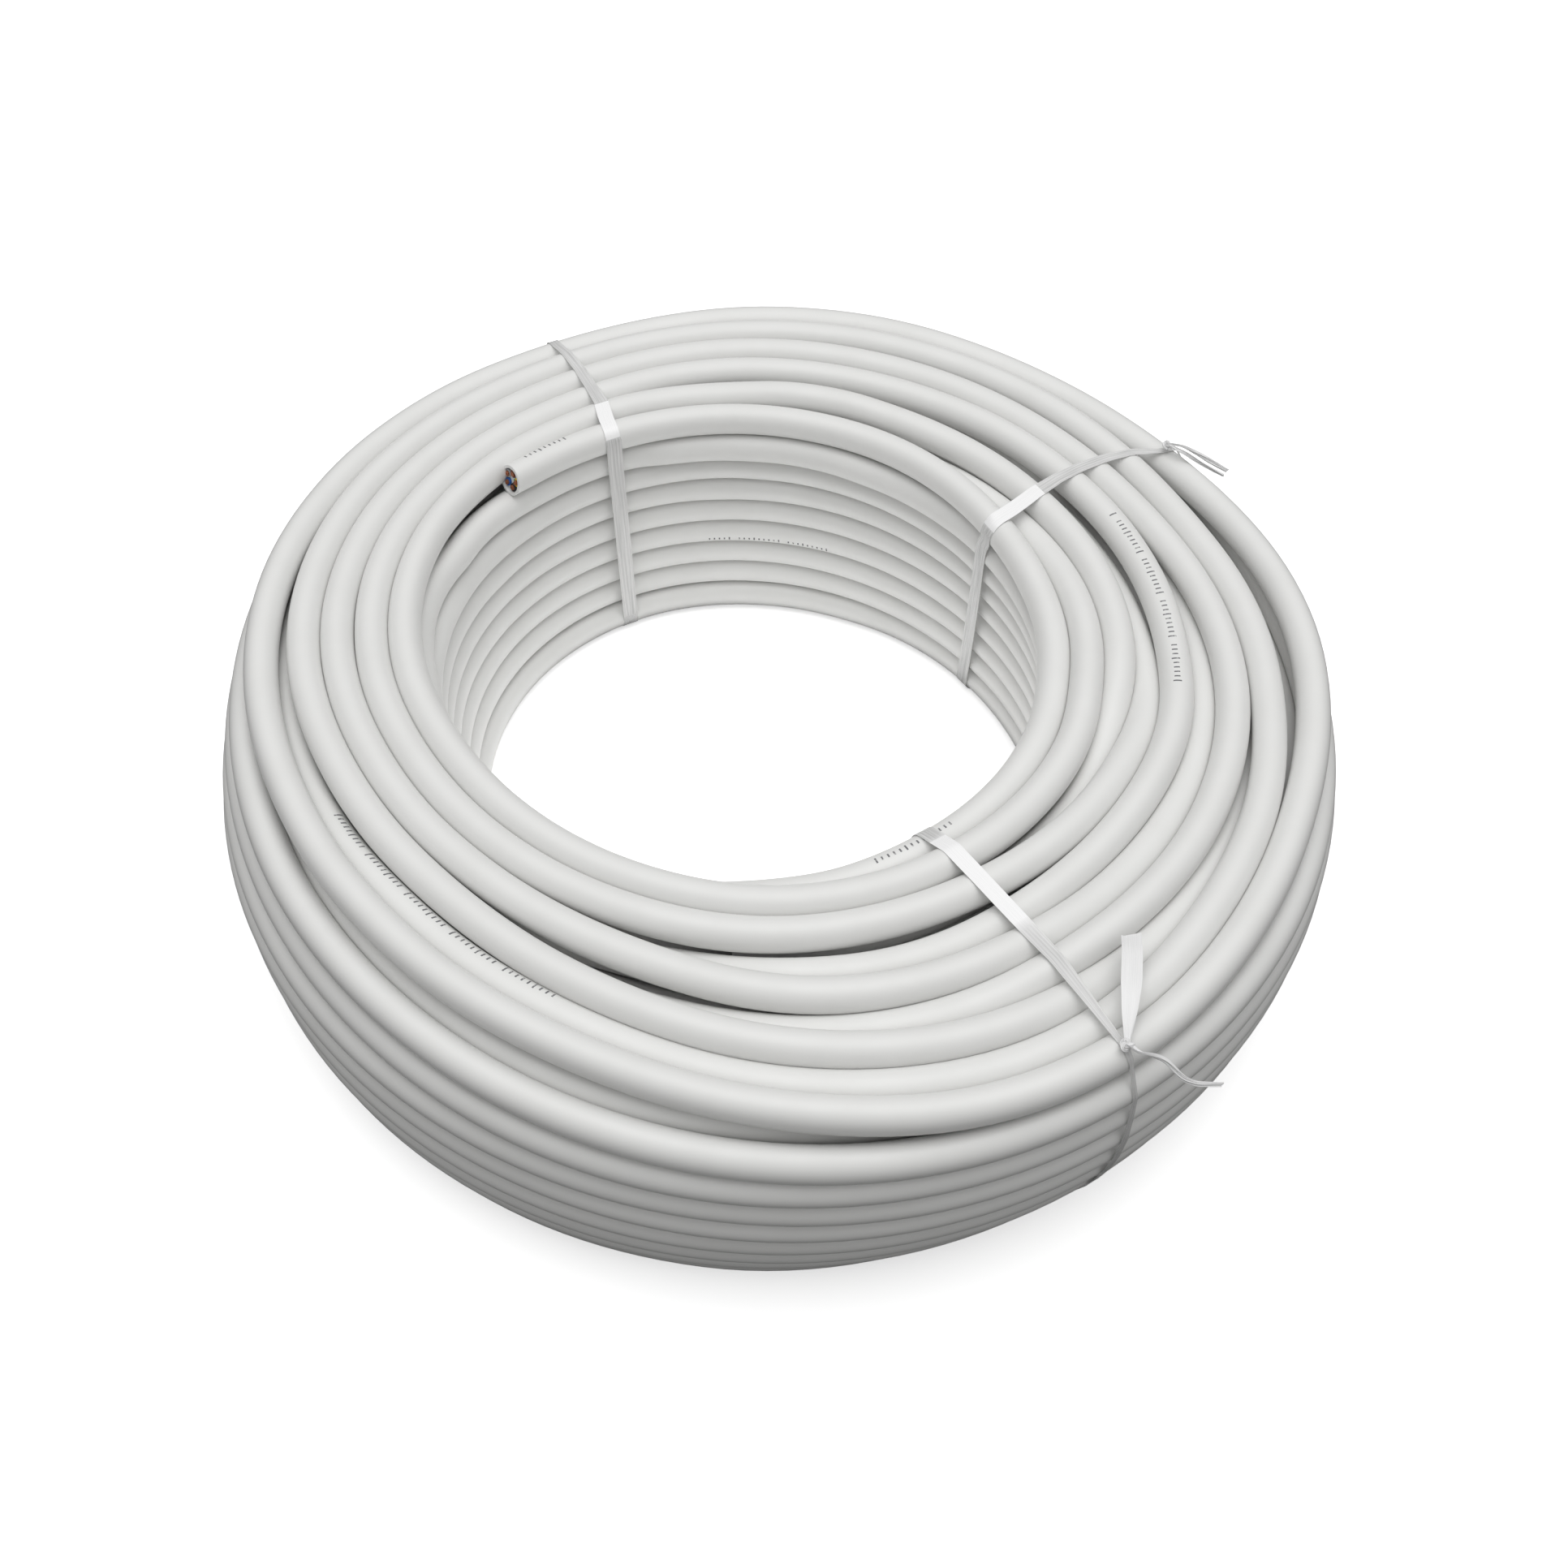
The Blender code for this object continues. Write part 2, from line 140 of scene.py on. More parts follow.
def bulge(angle, towards):
    """Share of a bulge that is centred on one direction, 1 there and 0 square to it."""
    return max(0.0, math.cos(math.radians(angle - towards))) ** 2


def rise_of(height):
    """Place of a height between the lowest row, at -1, and the top row, at 1."""
    return (height - LOW_ROW) / (ROWS - 1) * 2 - 1


def inner_wall(angle, height):
    """Middle of an inner turn at one height."""
    rise = rise_of(height)
    a = math.radians(angle)
    oval = 0.403 * math.sin(2 * a) + 0.54 * rise * math.cos(a)
    dent = 0.565 * (1 + rise) / 2 * bulge(angle, 140)
    return 9.782 + 0.2 * (1 - rise ** 2) - oval - dent


def outer_wall(angle, height):
    """Middle of an outside turn at one height."""
    rise = rise_of(height)
    a = math.radians(angle)
    along = 0.766 * math.cos(a) - 0.718 * math.sin(a)
    across = 0.766 * math.sin(a) + 0.718 * math.cos(a)
    reach = along + math.sqrt(16.2 ** 2 - across ** 2) - 0.5
    share = (1 + rise) / 2
    front = 1.1 * share ** 2 * bulge(angle, 295)
    dent = 0.85 * share * bulge(angle, 225)
    return reach + 1.0 * (1 - rise ** 2) + front - dent


def smooth_step(x):
    x = min(1.0, max(0.0, x))
    return x * x * (3 - 2 * x)


def wobble(seed, count, size):
    """A slow seeded wander along a turn, a few waves to a lap."""
    numbers = np.random.default_rng(seed)
    angle = np.arange(count) * math.radians(STEP)
    total = np.zeros(count)
    for wave in (2, 3, 5, 7):
        total += numbers.normal(0, 1 / wave) * np.sin(wave * angle * 0.93 + numbers.uniform(0, 6.28))
    return size * total


class Turn:
    """One length of cable in the coil, sampled at the stations it passes."""

    def __init__(self, name, first, radii, heights, hold, closed=False, group="top"):
        self.name = name
        self.first = first
        self.radii = np.array(radii, float)
        self.heights = np.array(heights, float)
        self.hold = hold
        self.closed = closed
        self.group = group

    def angles(self):
        return (self.first + np.arange(len(self.radii))) * STEP

    def between(self, angle, period=None):
        """Radius and height of the turn at an angle between its samples."""
        angles = self.angles()
        return [np.interp(angle, angles, values, period=period) for values in (self.radii, self.heights)]

    def at(self, angle):
        """Radius and height of each pass of the turn through one direction."""
        if self.closed:
            return [self.between(angle, 360)]
        angles = self.angles()
        laps = range(math.ceil((angles[0] - angle) / 360), math.floor((angles[-1] - angle) / 360) + 1)
        return [self.between(angle + 360 * lap) for lap in laps]

    def point(self, angle):
        """The turn's middle at an angle, in the row frame."""
        radius, height = self.between(angle)
        return row_point(radius, angle, height)


def through(stations):
    """A turn's radius and height at every sample, on smooth curves through its stations."""
    given = np.array([(*station, TOP_ROW)[:3] for station in stations], float)
    first = math.ceil(given[0, 0] / STEP)
    last = math.floor(given[-1, 0] / STEP)
    angles = np.arange(first, last + 1) * STEP
    radii = cubic(given[:, 0], given[:, 1], angles)
    heights = cubic(given[:, 0], given[:, 2], angles)
    return first, radii, heights


def cubic(xs, ys, at):
    """Monotone-slope cubic through points, which does not overshoot."""
    step = np.diff(xs)
    slope = np.diff(ys) / step
    tangent = np.zeros(len(xs))
    tangent[0], tangent[-1] = slope[0], slope[-1]
    same = slope[:-1] * slope[1:] > 0
    mean = (slope[:-1] * step[1:] + slope[1:] * step[:-1]) / (step[1:] + step[:-1])
    limit = 3 * np.minimum(abs(slope[:-1]), abs(slope[1:]))
    tangent[1:-1] = np.where(same, np.sign(mean) * np.minimum(abs(mean), limit), 0)
    k = np.clip(np.searchsorted(xs, at, side="right") - 1, 0, len(xs) - 2)
    t = (at - xs[k]) / step[k]
    return ((2 * t ** 3 - 3 * t ** 2 + 1) * ys[k] + (t ** 3 - 2 * t ** 2 + t) * step[k] * tangent[k]
            + (3 * t ** 2 - 2 * t ** 3) * ys[k + 1] + (t ** 3 - t ** 2) * step[k] * tangent[k + 1])


def ring(stations):
    """The samples of a closed turn."""
    before = [(angle - 360, *rest) for angle, *rest in stations[-3:]]
    after = [(angle + 360, *rest) for angle, *rest in stations[:3]]
    first, radii, heights = through(before + stations + after)
    return 0, radii[-first:-first + STATIONS], heights[-first:-first + STATIONS]


def climb(angle, top, window):
    """Height of a wall turn that is level but for one row's climb in a window of each lap."""
    start, end = window
    laps = math.floor((angle - start) / 360)
    return top + laps + smooth_step((angle - start - 360 * laps) / (end - start))


def tuck_in(past):
    """How far a hidden end of cable bends into the coil, by degrees past its end."""
    return 1.2 * smooth_step(1 - past / 50)


def inner_turns():
    """The inner wall from its foot up, and the innermost top turn as far as the cut end."""
    first, radii, heights = through(INNERMOST)
    start = int((INNER_CLIMB[0] - 360 * 7) / STEP)
    low = [(k * STEP, climb(k * STEP, SECOND_ROW, INNER_CLIMB) - 1) for k in range(start, first)]
    low = [(a, max(LOW_ROW, z)) for a, z in low]
    low_radii = [inner_wall(a, z) for a, z in low] + wobble(3, len(low), 0.03)
    radii = np.concatenate([low_radii + [tuck_in(k * STEP) for k in range(len(low))], radii])
    heights = np.concatenate([[z for a, z in low], heights])
    return Turn("inner", start, radii, heights, 0.6, group="inside")


def outer_turns():
    """The outer wall from its foot up to the row under the outermost top turn."""
    start = int((OUTER_CLIMB[0] - 360 * 7) / STEP)
    end = int(OUTER_END / STEP)
    places = [(k * STEP, climb(k * STEP, SECOND_ROW, OUTER_CLIMB) - 1) for k in range(start, end)]
    places = [(a, min(SECOND_ROW, max(LOW_ROW, z))) for a, z in places]
    radii = [outer_wall(a, z) for a, z in places] + wobble(4, len(places), 0.05)
    last = len(places) - 1
    tuck = [tuck_in(k * STEP) + tuck_in((last - k) * STEP) for k in range(last + 1)]
    return Turn("outer", start, radii - tuck, [z for a, z in places], 0.25, group="outside")


def lay_out():
    """Every turn of the coil that can be seen, before the turns settle."""
    turns = [Turn("ring", *ring(TOP_RING), hold=0.5, closed=True)]
    for name, stations in (("second", SECOND), ("third", THIRD), ("fourth", FOURTH), ("fifth", FIFTH)):
        turns.append(Turn(name, *through(stations), hold=0.5))
    turns += [inner_turns(), outer_turns()]
    whole = np.arange(STATIONS) * STEP
    for k in range(1, 7):
        share = k / 7
        radii = [inner_wall(a, SECOND_ROW) * (1 - share) + outer_wall(a, SECOND_ROW) * share for a in whole]
        heights = np.full(STATIONS, SECOND_ROW - 0.15)
        turns.append(Turn(f"under_{k}", 0, radii, heights, 0.02, True, "under"))
    for k in range(1, 6):
        share = k / 6
        radii = [inner_wall(a, LOW_ROW) * (1 - share) + outer_wall(a, LOW_ROW) * share for a in whole]
        radii = np.array(radii) + wobble(20 + k, STATIONS, 0.04)
        turns.append(Turn(f"foot_{k}", 0, radii, np.full(STATIONS, LOW_ROW), 0.1, True, "foot"))
    return turns


def settle(turns, rounds=160, contact=0.995, eager=0.6, homing=0.06, smoothing=0.3):
    """Push turns that lie in each other apart, keeping each one smooth and near its place."""
    station = np.concatenate([(t.first + np.arange(len(t.radii))) % STATIONS for t in turns])
    owner = np.concatenate([np.full(len(t.radii), k) for k, t in enumerate(turns)])
    place = np.stack([np.concatenate([t.radii for t in turns]),
                      np.concatenate([t.heights for t in turns])], 1)
    home = place.copy()
    hold = np.array([turns[k].hold for k in owner])[:, None]
    soft = np.array([1.0 / (0.05 + turns[k].hold) for k in owner])
    groups = [np.flatnonzero(station == s) for s in range(STATIONS)]
    widest = max(len(g) for g in groups)
    table = np.full((STATIONS, widest), -1)
    for s, group in enumerate(groups):
        table[s, :len(group)] = group
    real = table >= 0
    pair = real[:, :, None] & real[:, None, :] & ~np.eye(widest, dtype=bool)
    give = soft[table]
    share = give[:, :, None] / (give[:, :, None] + give[:, None, :])
    bounds = np.cumsum([0] + [len(t.radii) for t in turns])
    for _ in range(rounds):
        spots = place[table]
        gap = spots[:, :, None, :] - spots[:, None, :, :]
        apart = np.linalg.norm(gap, axis=-1)
        lack = np.where(pair, np.clip(contact - apart, 0, None), 0)
        push = (gap / np.maximum(apart, 0.05)[..., None]) * (lack * share * eager)[..., None]
        move = push.sum(2)
        place[table[real]] += move[real]
        place += (home - place) * hold * homing
        for k, turn in enumerate(turns):
            part = place[bounds[k]:bounds[k + 1]]
            if turn.closed:
                part += smoothing * ((np.roll(part, 1, 0) + np.roll(part, -1, 0)) / 2 - part)
            else:
                part[1:-1] += smoothing * ((part[:-2] + part[2:]) / 2 - part[1:-1])
        place[:, 1] = np.maximum(place[:, 1], LOW_ROW)
    for k, turn in enumerate(turns):
        turn.radii = place[bounds[k]:bounds[k + 1], 0]
        turn.heights = place[bounds[k]:bounds[k + 1], 1]


def row_point(radius, angle, height):
    """A point of the layout in the row frame, in metres."""
    a = math.radians(angle)
    return Vector((AXIS[0] + radius * CABLE * math.cos(a),
                   AXIS[1] + radius * CABLE * math.sin(a), height * CABLE))


def outwards(angle):
    """Unit vector away from the bore's axis."""
    a = math.radians(angle)
    return Vector((math.cos(a), math.sin(a), 0))


def link(obj):
    bpy.context.scene.collection.objects.link(obj)
    return obj


# Materials

def new_tree(name, kind, inputs, outputs):
    """A node group with its sockets, as (name, type, default) and (name, type)."""
    tree = bpy.data.node_groups.new(name, kind)
    for label, sort, value in inputs:
        socket = tree.interface.new_socket(label, in_out="INPUT", socket_type=sort)
        if value is not None:
            socket.default_value = value
    for label, sort in outputs:
        tree.interface.new_socket(label, in_out="OUTPUT", socket_type=sort)
    return tree, tree.nodes.new("NodeGroupInput").outputs, tree.nodes.new("NodeGroupOutput")


def feed(tree, node, **values):
    """Set or link a node's input sockets, by name or by number."""
    for key, value in values.items():
        key = int(key[1:]) if key[0] == "i" and key[1:].isdigit() else key.replace("_", " ")
        if isinstance(value, bpy.types.NodeSocket):
            tree.links.new(value, node.inputs[key])
        else:
            node.inputs[key].default_value = value


def add(tree, kind, settings=None, **values):
    """A new node with its settings and the values or links of its input sockets."""
    node = tree.nodes.new(kind)
    for key, value in (settings or {}).items():
        setattr(node, key, value)
    feed(tree, node, **values)
    return node


def compute(tree, operation, *terms, clamp=False):
    """The result of a math node on numbers or links."""
    settings = {"operation": operation, "use_clamp": clamp}
    return add(tree, "ShaderNodeMath", settings, **{f"i{k}": t for k, t in enumerate(terms)}).outputs[0]


def spread(tree, value, low, high, at_low, at_high):
    """A value moved from one range to another and held at the ends."""
    return add(tree, "ShaderNodeMapRange", i0=value, i1=low, i2=high, i3=at_low, i4=at_high).outputs[0]


def blend(tree, share, none, full):
    """A mix of two colours, each a link or three numbers."""
    none, full = ((*c, 1) if isinstance(c, tuple) else c for c in (none, full))
    return add(tree, "ShaderNodeMix", {"data_type": "RGBA"}, i0=share, i6=none, i7=full).outputs[2]


def ramp(tree, value, *stops):
    """A value's colour between two stops, each a position and a colour."""
    node = add(tree, "ShaderNodeValToRGB", Fac=value)
    for element, (position, colour) in zip(node.color_ramp.elements, stops):
        element.position = position
        element.color = (*colour, 1)
    return node.outputs["Color"]


def noise(tree, place, scale, detail, **values):
    """The value of a noise texture."""
    return add(tree, "ShaderNodeTexNoise", Vector=place, Scale=scale, Detail=detail, **values).outputs["Fac"]


def here_in(tree):
    """Object coordinates."""
    return add(tree, "ShaderNodeTexCoord").outputs["Object"]


def run_in(tree):
    """Where a point lies along and across its piece."""
    return add(tree, "ShaderNodeUVMap", {"uv_map": "run"}).outputs["UV"]


def parts_of(tree, vector):
    return add(tree, "ShaderNodeSeparateXYZ", Vector=vector).outputs


def new_material(name, shown):
    """A material with its tree and shader. The colour is for plain viewports."""
    mat = bpy.data.materials.new(name)
    mat.use_nodes = True
    mat.diffuse_color = (*shown, 1)
    return mat, mat.node_tree, mat.node_tree.nodes["Principled BSDF"]


def soft_plastic_group():
    """Faint clouding, dust and fine unevenness of an extruded plastic skin."""
    tree, inside, outside = new_tree(
        "extruded skin", "ShaderNodeTree",
        [("Base", "NodeSocketColor", (0.8, 0.8, 0.8, 1)), ("Shade", "NodeSocketColor", (0.7, 0.7, 0.7, 1)),
         ("Roughness", "NodeSocketFloat", 0.4), ("Scale", "NodeSocketFloat", 60.0)],
        [("Color", "NodeSocketColor"), ("Roughness", "NodeSocketFloat"), ("Height", "NodeSocketFloat")])
    place = here_in(tree)
    cloud = noise(tree, place, inside["Scale"], 4.0, Roughness=0.6)
    fine = noise(tree, place, 1400.0, 3.0, Roughness=0.6)
    amount = spread(tree, cloud, 0.42, 0.72, 0.0, 0.5)
    change = spread(tree, cloud, 0.3, 0.75, -0.05, 0.06)
    feed(tree, outside, Color=blend(tree, amount, inside["Base"], inside["Shade"]),
         Roughness=compute(tree, "ADD", inside["Roughness"], change),
         Height=compute(tree, "MULTIPLY_ADD", fine, 0.25, cloud))
    return tree


def plastic(name, base, shade, roughness, scale=60.0):
    """A plastic material on the shared skin group."""
    mat, tree, shader = new_material(name, base)
    skin = add(tree, "ShaderNodeGroup", {"node_tree": SKIN}, Base=(*base, 1), Shade=(*shade, 1),
               Roughness=roughness, Scale=scale).outputs
    bumps = add(tree, "ShaderNodeBump", Strength=1.0, Distance=0.00003, Height=skin["Height"])
    feed(tree, shader, Base_Color=skin["Color"], Roughness=skin["Roughness"], Normal=bumps.outputs["Normal"])
    return mat


SKIN = soft_plastic_group()


# Cable built from routes

def cable_tree():
    """Geometry Nodes: a round skin swept along each curve."""
    tree, inside, outside = new_tree(
        "sheathed cable", "GeometryNodeTree",
        [("Routes", "NodeSocketGeometry", None), ("Diameter", "NodeSocketFloat", None),
         ("Sides", "NodeSocketInt", None), ("Sheath", "NodeSocketMaterial", None)],
        [("Cable", "NodeSocketGeometry")])
    tree.is_modifier = True
    upright = add(tree, "GeometryNodeSetCurveNormal", {"mode": "Z_UP"}, Curve=inside["Routes"])
    outline = add(tree, "GeometryNodeCurvePrimitiveCircle", Resolution=inside["Sides"],
                  Radius=compute(tree, "MULTIPLY", inside["Diameter"], 0.5))
    swept = add(tree, "GeometryNodeCurveToMesh", Curve=upright.outputs["Curve"],
                Profile_Curve=outline.outputs["Curve"], Fill_Caps=True)
    smooth = add(tree, "GeometryNodeSetShadeSmooth", Geometry=swept.outputs["Mesh"])
    whole = add(tree, "GeometryNodeRealizeInstances", Geometry=smooth.outputs["Geometry"])
    coat = add(tree, "GeometryNodeSetMaterial", Geometry=whole.outputs["Geometry"], Material=inside["Sheath"])
    feed(tree, outside, Cable=coat.outputs["Geometry"])
    return tree


def from_tree(name, host, tree, values):
    """The plain mesh that a node tree makes of a host object, with the host removed."""
    change = host.modifiers.new("shape", "NODES")
    change.node_group = tree
    for item in tree.interface.items_tree:
        if item.item_type == "SOCKET" and item.in_out == "INPUT" and item.name in values:
            change[item.identifier] = values[item.name]
    seen = host.evaluated_get(bpy.context.evaluated_depsgraph_get())
    mesh = bpy.data.meshes.new_from_object(seen)
    mesh.name = name
    host.modifiers.remove(change)
    bpy.data.objects.remove(host)
    return link(bpy.data.objects.new(name, mesh))


def routes_object(routes):
    """A curve object with one poly line for each route, as (points, closed)."""
    curve = bpy.data.curves.new("routes", "CURVE")
    curve.dimensions = "3D"
    for points, closed in routes:
        line = curve.splines.new("POLY")
        line.points.add(len(points) - 1)
        line.points.foreach_set("co", [c for p in points for c in (*p, 1.0)])
        line.use_cyclic_u = closed
    return link(bpy.data.objects.new("routes", curve))


def route_of(turn, start=None, stop=None):
    """A turn's middle line in the row frame, whole or between two angles."""
    points = []
    for angle, radius, height in zip(turn.angles(), turn.radii, turn.heights):
        if (start is None or angle >= start) and (stop is None or angle <= stop):
            points.append(row_point(radius, angle, height))
    return points


def cable_piece(name, routes, material, sides=SIDES):
    """Cable along routes, each given as its points and whether it closes on itself."""
    piece = from_tree(name, routes_object(routes), CABLE_TREE,
                      {"Diameter": CABLE, "Sides": sides, "Sheath": material})
    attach(piece, "root")
    return piece


class Skin:
    """Vertices, faces and a run-and-across place for each vertex, gathered for one piece."""

    def __init__(self):
        self.verts, self.faces, self.places = [], [], []

    def grid(self, rings, places, close_rings=False, close_run=False, cap=False):
        """Faces between equal rings of points."""
        first, count = len(self.verts), len(rings[0])
        for ring_points, ring_places in zip(rings, places):
            self.verts += ring_points
            self.places += ring_places
        for k in range(len(rings) if close_run else len(rings) - 1):
            a, b = first + k * count, first + (k + 1) % len(rings) * count
            for j in range(count if close_rings else count - 1):
                i = (j + 1) % count
                self.faces.append((a + j, a + i, b + i, b + j))
        if cap:
            last = first + (len(rings) - 1) * count
            self.faces.append(tuple(first + j for j in reversed(range(count))))
            self.faces.append(tuple(last + j for j in range(count)))

    def make(self, name, material, sharp=40):
        mesh = bpy.data.meshes.new(name)
        mesh.from_pydata(self.verts, [], self.faces)
        run = mesh.uv_layers.new(name="run")
        for loop in mesh.loops:
            run.data[loop.index].uv = self.places[loop.vertex_index]
        shape = bmesh.new()
        shape.from_mesh(mesh)
        bmesh.ops.recalc_face_normals(shape, faces=shape.faces)
        shape.to_mesh(mesh)
        shape.free()
        mesh.shade_smooth()
        mesh.set_sharp_from_angle(angle=math.radians(sharp))
        mesh.materials.append(material)
        piece = link(bpy.data.objects.new(name, mesh))
        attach(piece, "root")
        return piece


# The cut end

def cut_frame():
    """Matrix of the cut end: x away from the bore, y up and z back along the cable."""
    ahead = outwards(CUT_WAY)
    side = Vector((ahead.y, -ahead.x, 0))
    tip = row_point(CUT[1], CUT[0], TOP_ROW)
    frame_rows = Matrix((side, Vector((0, 0, 1)), -ahead)).transposed().to_4x4()
    leaning = Matrix(((1, 0, 0, 0), (0, 1, 0, 0), (0, SLANT, 1, 0), (0, 0, 0, 1)))
    return Matrix.Translation(tip) @ frame_rows @ leaning


def hollow_cut(piece, tip, back):
    """Turn the closed end of the cable at the cut into a sheath wall round a sunken filling."""
    shape = bmesh.new()
    shape.from_mesh(piece.data)
    ends = [f for f in shape.faces if len(f.verts) > 4]
    face = min(ends, key=lambda end: (end.calc_center_median() - tip).length)
    for corner in face.verts:
        corner.co += back * (corner.co.z - tip.z) * SLANT
    bmesh.ops.inset_region(shape, faces=[face], thickness=RIM_BEVEL, depth=0.00012)
    bmesh.ops.inset_region(shape, faces=[face], thickness=SHEATH_WALL - RIM_BEVEL, depth=0.0)
    deeper = bmesh.ops.extrude_face_region(shape, geom=[face])
    moved = [v for v in deeper["geom"] if isinstance(v, bmesh.types.BMVert)]
    bmesh.ops.translate(shape, verts=moved, vec=back * FILLING_DEPTH)
    bmesh.ops.delete(shape, geom=[face], context="FACES_ONLY")
    shape.to_mesh(piece.data)
    shape.free()
    piece.data.set_sharp_from_angle(angle=math.radians(35))


def lathe(profile, sides, centre):
    """Rings of points of a round shape, its profile given as (radius, depth)."""
    rings = []
    for radius, depth in profile:
        ways = [2 * math.pi * k / sides for k in range(sides)]
        rings.append([Vector((centre[0] + radius * math.cos(w), centre[1] + radius * math.sin(w), depth))
                      for w in ways])
    return rings


def strand_tree():
    """Geometry Nodes: one fine wire at every point of its host, each a little off its place."""
    tree, inside, outside = new_tree(
        "fine strands", "GeometryNodeTree",
        [("Places", "NodeSocketGeometry", None), ("Radius", "NodeSocketFloat", None),
         ("Length", "NodeSocketFloat", None), ("Metal", "NodeSocketMaterial", None),
         ("Seed", "NodeSocketInt", None)],
        [("Strands", "NodeSocketGeometry")])
    tree.is_modifier = True
    wire = add(tree, "GeometryNodeMeshCylinder", Vertices=10, Radius=inside["Radius"], Depth=inside["Length"])
    uneven = add(tree, "FunctionNodeRandomValue", {"data_type": "FLOAT_VECTOR"},
                 i0=(-0.00002, -0.00002, -0.00018), i1=(0.00002, 0.00002, 0.00012), i8=inside["Seed"])
    moved = add(tree, "GeometryNodeSetPosition", Geometry=inside["Places"], Offset=uneven.outputs[0])
    wires = add(tree, "GeometryNodeInstanceOnPoints", Points=moved.outputs["Geometry"],
                Instance=wire.outputs["Mesh"])
    whole = add(tree, "GeometryNodeRealizeInstances", Geometry=wires.outputs["Instances"])
    coat = add(tree, "GeometryNodeSetMaterial", Geometry=whole.outputs["Geometry"], Material=inside["Metal"])
    feed(tree, outside, Strands=coat.outputs["Geometry"])
    return tree


def make_core(name, number, skin_material, metal, tree):
    """One insulated core at the cut end with its bundle of fine copper strands."""
    way = 2 * math.pi * number / 5 + math.radians(100)
    centre = (CORE_LAY * math.cos(way), CORE_LAY * math.sin(way))
    bore = CORE_RADIUS - INSULATION_WALL
    skin = Skin()
    profile = [(CORE_RADIUS, 0.0115), (CORE_RADIUS, CORE_END + 0.0001), (CORE_RADIUS - 0.0001, CORE_END),
               (bore + 0.00008, CORE_END), (bore, CORE_END + 0.0001), (bore, 0.0105)]
    rings = lathe(profile, SIDES, centre)
    skin.grid(rings, [[(k / SIDES, depth) for k in range(SIDES)] for radius, depth in profile],
              close_rings=True, cap=True)
    piece = skin.make("insulation_" + name, skin_material)
    piece.data.transform(CUT_FRAME)
    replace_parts(piece, "core_" + name)
    strand = bore / 7.1
    spots = []
    for q in range(-3, 4):
        for s in range(-3, 4):
            if abs(q + s) <= 3:
                spots.append((centre[0] + strand * (2 * q + s), centre[1] + strand * s * 3 ** 0.5, 0.0052))
    places = bpy.data.meshes.new("places")
    places.from_pydata(spots, [], [])
    host = link(bpy.data.objects.new("places", places))
    wires = from_tree("strands_" + name, host, tree,
                      {"Radius": strand, "Length": 0.0101, "Metal": metal, "Seed": 11 + number})
    wires.data.transform(CUT_FRAME)
    wires.data.shade_smooth()
    wires.data.set_sharp_from_angle(angle=math.radians(50))
    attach(wires, "root")
    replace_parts(wires, "wire_" + name)


# The ties

def hull(points):
    """Corners of the convex hull of plane points, anticlockwise."""
    points = sorted(set((round(x, 6), round(y, 6)) for x, y in points))

    def chain(row):
        kept = []
        for p in row:
            while len(kept) > 1:
                (ax, ay), (bx, by) = kept[-2], kept[-1]
                if (bx - ax) * (p[1] - ay) - (by - ay) * (p[0] - ax) > 1e-9:
                    break
                kept.pop()
            kept.append(p)
        return kept[:-1]

    return chain(points) + chain(points[::-1])


def drawn_tight(angle, turns):
    """The loop that film takes round all turns at one direction, as (radius, height) in diameters."""
    reach = 0.5 + 1.5 * FILM / CABLE
    ring_points = []
    for turn in turns:
        for near in (-2.0, 0.0, 2.0):
            for radius, height in turn.at(angle + near):
                ring_points += [(radius + reach * math.cos(w * math.pi / 16),
                                 height + reach * math.sin(w * math.pi / 16)) for w in range(32)]
    corners = np.array(hull(ring_points))
    loop = []
    for here, following in zip(corners, np.roll(corners, -1, 0)):
        pieces = max(1, int(np.hypot(*(following - here)) / 0.22))
        loop += [here + (following - here) * k / pieces for k in range(pieces)]
    return np.array(loop)


def film_ring(across, middle, side, face, width, thickness, crease, phase):
    """One closed section of a strip of film: its outer side and back along its inner side."""
    ring_points, ring_places = [], []
    marks = [k / 10 for k in range(11)]
    for outer, row in ((1, marks), (0, marks[::-1])):
        for v in row:
            fold = crease * (1 + math.sin(2 * math.pi * (2.2 * v + phase))) / 2
            fold += crease * 0.8 * (1 + math.sin(2 * math.pi * (5.1 * v - 1.7 * phase))) / 2
            fold += crease * 0.9 * (2 * v - 1) ** 6
            lift = fold + (thickness if outer else 0)
            ring_points.append(middle + side * (v - 0.5) * width + face * lift)
            ring_places.append((across, v))
    return ring_points, ring_places


def reach_round(angle, turns, middle):
    """How far the tight loop lies from a middle point, by direction from that point."""
    loop = drawn_tight(angle, turns) - middle
    ways = np.arctan2(loop[:, 1], loop[:, 0])
    order = np.argsort(ways)
    return ways[order], np.hypot(*loop[order].T)


